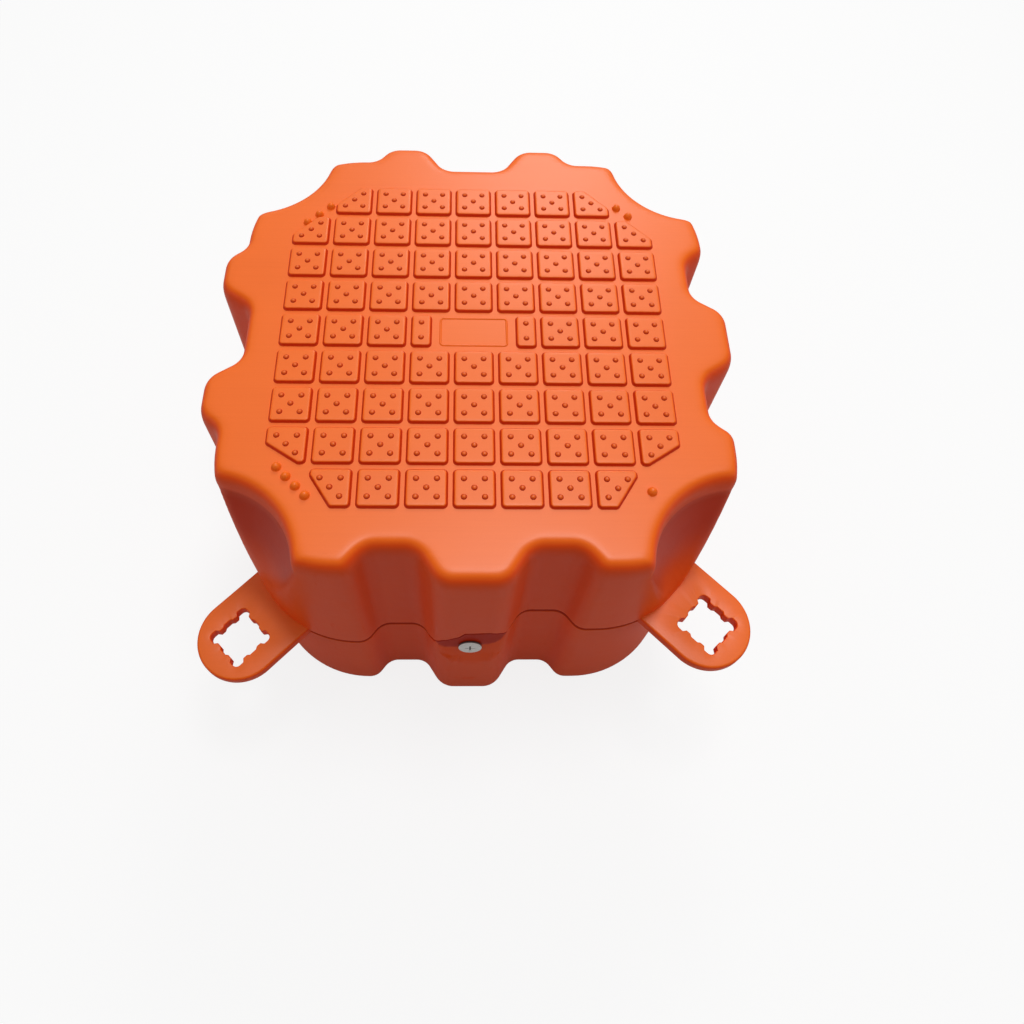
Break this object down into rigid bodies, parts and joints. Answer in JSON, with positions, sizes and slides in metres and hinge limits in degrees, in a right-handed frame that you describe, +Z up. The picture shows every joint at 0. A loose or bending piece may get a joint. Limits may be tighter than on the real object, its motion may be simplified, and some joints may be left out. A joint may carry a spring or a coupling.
{
  "type": "floating dock cube",
  "caption": "Hollow moulded float with wavy sides, a raised tread deck, corner wells and a stepped pin lug below each corner.",
  "frame": {"origin": "middle of the underside's plane, under the centre of the 500 mm module", "axes": "+Z up through the deck, -Y towards the side with the screw plug, +X to the right seen from there"},
  "size_m": [0.592, 0.592, 0.4],
  "materials": {
    "shell": "satin orange polyethylene, faintly grained",
    "plug": "satin off-white",
    "seal": "matt black"
  },
  "bodies": {
    "root": {"float_body": "shell", "vent_plug": "plug", "plug_seal": "seal"}
  },
  "joints": []
}
